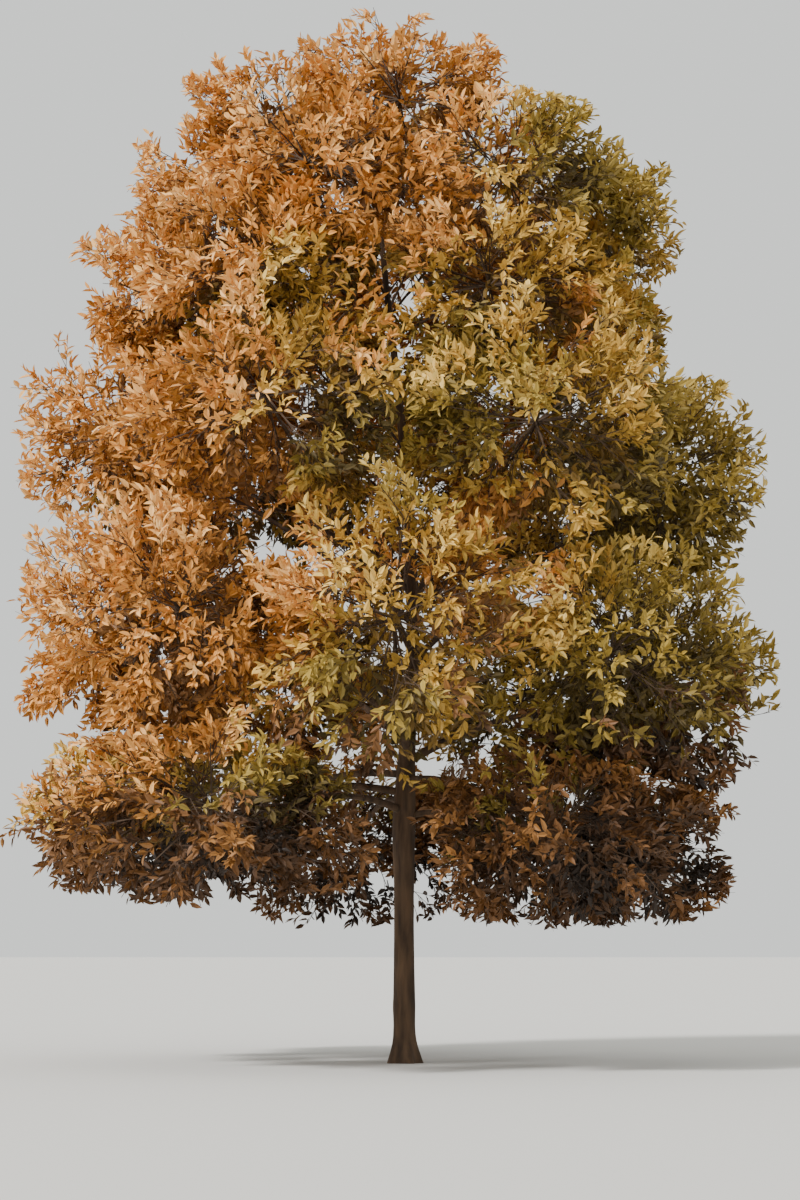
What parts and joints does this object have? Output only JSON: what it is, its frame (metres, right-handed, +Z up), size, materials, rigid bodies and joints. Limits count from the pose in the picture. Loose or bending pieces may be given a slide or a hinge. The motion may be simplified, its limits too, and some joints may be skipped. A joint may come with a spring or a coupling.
{
  "type": "sweet chestnut tree",
  "caption": "Whole sweet chestnut tree in autumn leaf: flared trunk that runs up as a leaning leader, with boughs and a broad, dense, domed crown of separate leafy masses.",
  "frame": {"origin": "middle of the flat cut under the trunk, at ground level", "axes": "+Z up the trunk; the view in the picture looks along +Y, with the tree's left at -X"},
  "size_m": [11.2132, 11.0782, 15.865],
  "materials": {
    "bark": "rough brown bark",
    "foliage_russet": "matte russet leaves in shade",
    "foliage_olive_gold": "matte olive and gold leaves",
    "foliage_apricot": "matte apricot and orange leaves"
  },
  "bodies": {
    "root": {"bough_lower_back_left": "bark", "bough_lower_back_right": "bark", "bough_lower_front": "bark", "bough_lower_front_left": "bark", "bough_lower_front_right": "bark", "bough_lower_left": "bark", "bough_lower_right": "bark", "bough_middle_back": "bark", "bough_middle_back_left": "bark", "bough_middle_back_right": "bark", "bough_middle_front_left": "bark", "bough_middle_front_right": "bark", "bough_middle_left": "bark", "bough_middle_right": "bark", "bough_skirt_back": "bark", "bough_skirt_back_left": "bark", "bough_skirt_back_right": "bark", "bough_skirt_front_left": "bark", "bough_skirt_front_right": "bark", "bough_skirt_left": "bark", "bough_skirt_right": "bark", "foliage_high_back": "foliage_apricot", "foliage_high_front_left": "foliage_apricot", "foliage_high_front_right": "foliage_apricot", "foliage_high_left": "foliage_apricot", "foliage_high_right": "foliage_apricot", "foliage_highest_back": "foliage_apricot", "foliage_highest_front": "foliage_apricot", "foliage_highest_left": "foliage_apricot", "foliage_highest_right": "foliage_apricot", "foliage_lower_back_left": "foliage_olive_gold", "foliage_lower_back_right": "foliage_olive_gold", "foliage_lower_front": "foliage_olive_gold", "foliage_lower_front_left": "foliage_olive_gold", "foliage_lower_front_right": "foliage_olive_gold", "foliage_lower_left": "foliage_olive_gold", "foliage_lower_right": "foliage_olive_gold", "foliage_middle_back": "foliage_olive_gold", "foliage_middle_back_left": "foliage_olive_gold", "foliage_middle_back_right": "foliage_olive_gold", "foliage_middle_front_left": "foliage_olive_gold", "foliage_middle_front_right": "foliage_olive_gold", "foliage_middle_left": "foliage_olive_gold", "foliage_middle_right": "foliage_olive_gold", "foliage_skirt_back": "foliage_russet", "foliage_skirt_back_left": "foliage_russet", "foliage_skirt_back_right": "foliage_russet", "foliage_skirt_front_left": "foliage_russet", "foliage_skirt_front_right": "foliage_russet", "foliage_skirt_left": "foliage_russet", "foliage_skirt_right": "foliage_russet", "foliage_top": "foliage_apricot", "foliage_upper_back_left": "foliage_apricot", "foliage_upper_back_right": "foliage_apricot", "foliage_upper_front_left": "foliage_apricot", "foliage_upper_front_right": "foliage_apricot", "foliage_upper_left": "foliage_apricot", "foliage_upper_right": "foliage_apricot", "trunk": "bark"}
  },
  "joints": []
}
